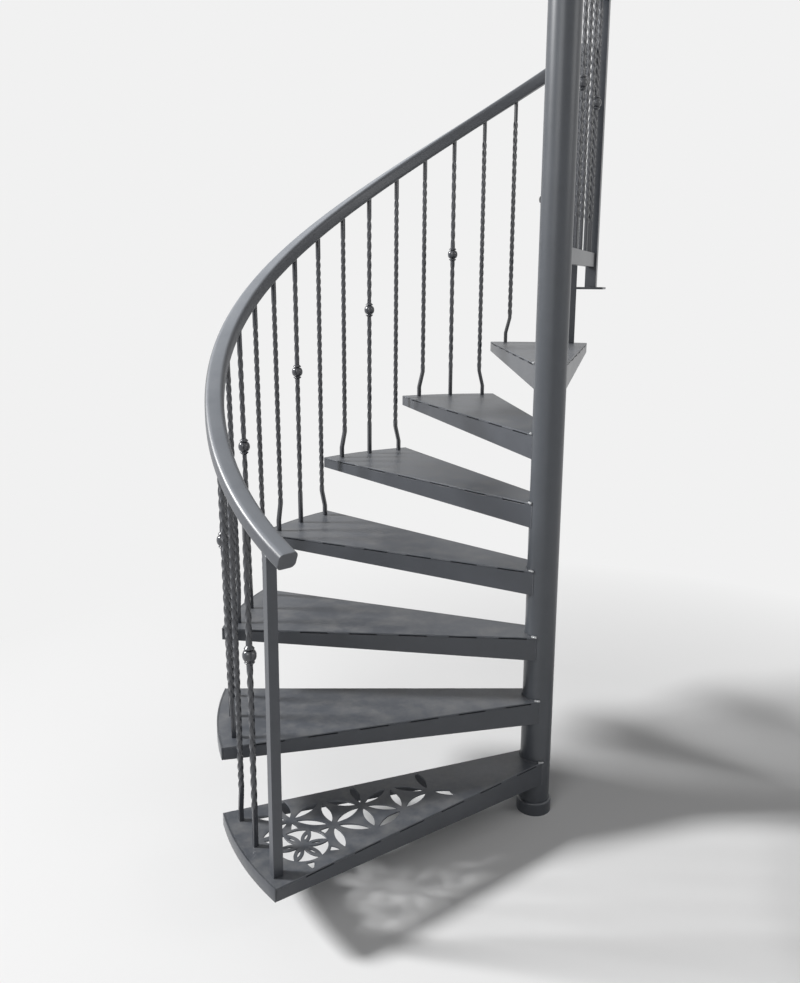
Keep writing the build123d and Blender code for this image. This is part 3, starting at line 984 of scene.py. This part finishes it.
class STAIR_OT_handrail(bpy.types.Operator):
    """Draw the curved handrail as one smooth tube with closed ends"""

    bl_idname = "stair.handrail"
    bl_label = "Handrail"

    def execute(self, context):
        span = RAIL_UPPER_ANGLE - RAIL_LOWER_ANGLE
        points = [rail_middle(RAIL_LOWER_ANGLE + span * i / RAIL_LENGTHS) for i in range(RAIL_LENGTHS + 1)]
        mesh = bpy.data.meshes.new("handrail_guide")
        mesh.from_pydata(points, [(i, i + 1) for i in range(RAIL_LENGTHS)], [])
        guide = new_object("handrail_guide", mesh)
        made = run_tree(guide, rail_tree(), {"Material": paint("rail_paint")}, "curved_handrail")
        for face in made.data.polygons:
            face.use_smooth = len(face.vertices) == 4
        settle(made, "steel_paint", "handrail", finish="rail_paint")
        self.end_plate("lower", RAIL_LOWER_ANGLE, 1)
        self.end_plate("upper", RAIL_UPPER_ANGLE, -1)
        return {"FINISHED"}

    def end_plate(self, end, angle, way):
        """Plate welded over an open end of the tube, its outer edge eased."""
        along = at_angle(1, angle + 90, rail_slope(angle)).normalized()
        across = at_angle(1, angle, 0)
        upright = across.cross(along)
        middle = rail_middle(angle)
        work = bmesh.new()
        rings = []
        for inset, reach in ((0, SEAT_GAP), (0, END_CAP * 0.6), (0.0004, END_CAP * 0.85), (0.0012, END_CAP)):
            ring = []
            for turn, (right, up) in enumerate(((1, 1), (-1, 1), (-1, -1), (1, -1))):
                corner = (right * (RAIL_WIDTH / 2 - RAIL_CORNER), up * (RAIL_DEPTH / 2 - RAIL_CORNER))
                for x, y in rounded(corner, RAIL_CORNER - inset, turn * 90, turn * 90 + 90, 8):
                    ring.append(work.verts.new(middle + across * x + upright * y + along * way * reach))
            rings.append(ring)
        for low, high in zip(rings, rings[1:]):
            for i in range(len(low)):
                j = (i + 1) % len(low)
                work.faces.new((low[i], low[j], high[j], high[i])).smooth = True
        work.faces.new(rings[0])
        work.faces.new(rings[-1])
        bmesh.ops.recalc_face_normals(work, faces=work.faces)
        name = f"{end}_end_plate"
        plate = new_object(name, as_mesh(work, name, 40))
        settle(plate, "steel_paint", f"handrail_{end}_cap", finish="rail_paint")


class STAIR_OT_posts(bpy.types.Operator):
    """Ease the edges of the newels and of the guard's rails and post"""

    bl_idname = "stair.posts"
    bl_label = "Newels and guard"

    def execute(self, context):
        for node, name in POSTS.items():
            eased_copy(node, name, "steel_paint", 0.0012, 3)
        return {"FINISHED"}


def seen_rays(tree):
    """1 for the rays that look at the stage, and 0 for those that carry its light."""
    rays = tree.node("ShaderNodeLightPath")
    seen = rays.outputs["Is Camera Ray"]
    for kind in ("Is Glossy Ray", "Is Transmission Ray"):
        seen = tree.math("MAXIMUM", seen, rays.outputs[kind])
    return seen


class STAIR_OT_stage(bpy.types.Operator):
    """Set the camera, the pale floor and the soft light"""

    bl_idname = "stair.stage"
    bl_label = "Stage"

    def execute(self, context):
        stage = context.scene.stair_stage
        self.place_camera(context, stage)
        self.lay_floor(stage)
        self.light_world(context, stage)
        self.hang_lamps(stage)
        context.scene.view_settings.view_transform = "Standard"
        return {"FINISHED"}

    def place_camera(self, context, stage):
        data = bpy.data.cameras.new("eye")
        data.sensor_fit = "HORIZONTAL"
        data.sensor_width = SENSOR
        data.lens = SENSOR * FOCAL / PICTURE[0]
        data.shift_y = (MIDDLE_ROW - PICTURE[1] / 2) / PICTURE[0]
        data.clip_start = 0.05
        data.clip_end = 100
        camera = new_object("eye", data)
        yaw = Matrix.Rotation(math.radians(EYE_YAW), 4, "Z")
        pitch = Matrix.Rotation(math.radians(90 - EYE_PITCH), 4, "X")
        roll = Matrix.Rotation(math.radians(EYE_ROLL), 4, "Z")
        camera.matrix_world = Matrix.Translation((*EYE, stage.height)) @ yaw @ pitch @ roll
        context.scene.camera = camera

    def lay_floor(self, stage):
        work = bmesh.new()
        bmesh.ops.create_circle(work, cap_ends=True, segments=96, radius=30)
        floor = new_object("floor", as_mesh(work, "floor"))
        material = bpy.data.materials.new("floor_finish")
        material.use_nodes = True
        material.node_tree.nodes.clear()
        tree = Tree(material.node_tree)
        place = tree.term("ShaderNodeTexCoord", out="Object")
        far = tree.vector_math("LENGTH", place, out=1)
        fade = ((far - LIT_REACH) / LIT_FADE).clamp()
        seen = seen_rays(tree)
        matt = tree.term("ShaderNodeBsdfDiffuse", {"Color": (*stage.floor, 1.0)})
        glow = tree.term("ShaderNodeEmission", {"Color": WHITE, "Strength": stage.background})
        mixed = tree.term("ShaderNodeMixShader", {0: fade * seen, 1: matt, 2: glow})
        tree.node("ShaderNodeOutputMaterial", {"Surface": mixed})
        floor.data.materials.append(material)

    def light_world(self, context, stage):
        world = bpy.data.worlds.new("studio")
        world.use_nodes = True
        world.node_tree.nodes.clear()
        context.scene.world = world
        tree = Tree(world.node_tree)
        seen = seen_rays(tree)
        strength = seen * (stage.background - stage.fill) + stage.fill
        shade = tree.term("ShaderNodeBackground", {"Color": WHITE, "Strength": strength})
        tree.node("ShaderNodeOutputWorld", {"Surface": shade})

    def hang_lamps(self, stage):
        lamps = (
            ("key", (-12.5, 0.34, 8.94), 2.8, stage.key),
            ("front", (-2.4, -4.6, 3.6), 3.0, stage.key * stage.front),
            ("side", (4.2, -1.4, 3.2), 2.4, stage.key * stage.side),
        )
        for name, spot, size, power in lamps:
            data = bpy.data.lights.new(name, "AREA")
            data.shape = "DISK"
            data.size = size
            data.energy = power
            lamp = new_object(name, data)
            lamp.location = spot
            lamp.rotation_euler = (Vector(AIM) - Vector(spot)).to_track_quat("-Z", "Y").to_euler()


class STAIR_PT_panel(bpy.types.Panel):
    """Buttons and settings of the staircase"""

    bl_idname = "STAIR_PT_panel"
    bl_label = "Staircase"
    bl_space_type = "VIEW_3D"
    bl_region_type = "UI"
    bl_category = "Stair"

    def draw(self, context):
        layout = self.layout
        for name, settings in (
            ("Paint", context.scene.stair_paint),
            ("Bars", context.scene.stair_bars),
            ("Stage", context.scene.stair_stage),
        ):
            box = layout.box()
            box.label(text=name)
            for key in settings.__annotations__:
                box.prop(settings, key)
        for operator in OPERATORS:
            layout.operator(operator.bl_idname)


OPERATORS = (
    STAIR_OT_column,
    STAIR_OT_treads,
    STAIR_OT_balusters,
    STAIR_OT_handrail,
    STAIR_OT_posts,
    STAIR_OT_stage,
)
SETTINGS = {"stair_paint": StairPaint, "stair_bars": StairBars, "stair_stage": StairStage}


def register():
    for name, group in SETTINGS.items():
        bpy.utils.register_class(group)
        setattr(bpy.types.Scene, name, bpy.props.PointerProperty(type=group))
    for operator in OPERATORS:
        bpy.utils.register_class(operator)
    bpy.utils.register_class(STAIR_PT_panel)


def unregister():
    bpy.utils.unregister_class(STAIR_PT_panel)
    for operator in reversed(OPERATORS):
        bpy.utils.unregister_class(operator)
    for name, group in reversed(SETTINGS.items()):
        delattr(bpy.types.Scene, name)
        bpy.utils.unregister_class(group)


def main():
    register()
    bpy.ops.stair.column()
    bpy.ops.stair.treads()
    bpy.ops.stair.balusters()
    bpy.ops.stair.handrail()
    bpy.ops.stair.posts()
    bpy.ops.stair.stage()


if __name__ == "__main__":
    main()
